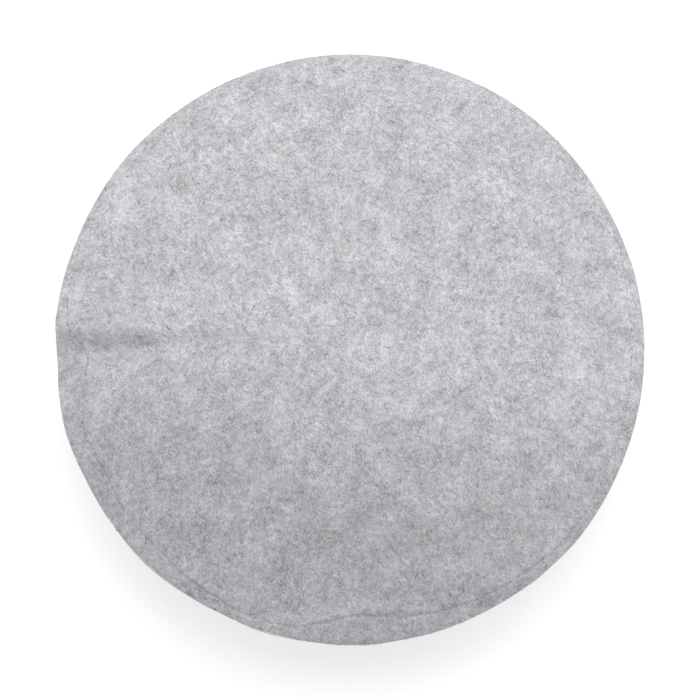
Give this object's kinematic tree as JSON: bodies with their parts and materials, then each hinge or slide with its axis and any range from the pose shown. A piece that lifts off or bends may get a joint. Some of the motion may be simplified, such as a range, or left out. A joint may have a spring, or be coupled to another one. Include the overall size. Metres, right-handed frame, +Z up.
{
  "type": "pakol",
  "caption": "Soft round wool felt cap: a wide, gently domed crown stitched to a long side that is rolled up into a thick ring round the head opening.",
  "frame": {"origin": "on the surface that the cap rests on, below the middle of its outline", "axes": "+Z up through the crown, -Y towards the picture's lower edge, +X towards the picture's right"},
  "size_m": [0.2568, 0.2568, 0.0746],
  "materials": {
    "crown_felt": "matt light grey melange felted wool with a short nap, rare dark, brown and cream fibres",
    "side_felt": "the same matt light grey melange felted wool, rolled up"
  },
  "bodies": {
    "root": {"crown": "crown_felt", "rolled_side": "side_felt"}
  },
  "joints": []
}
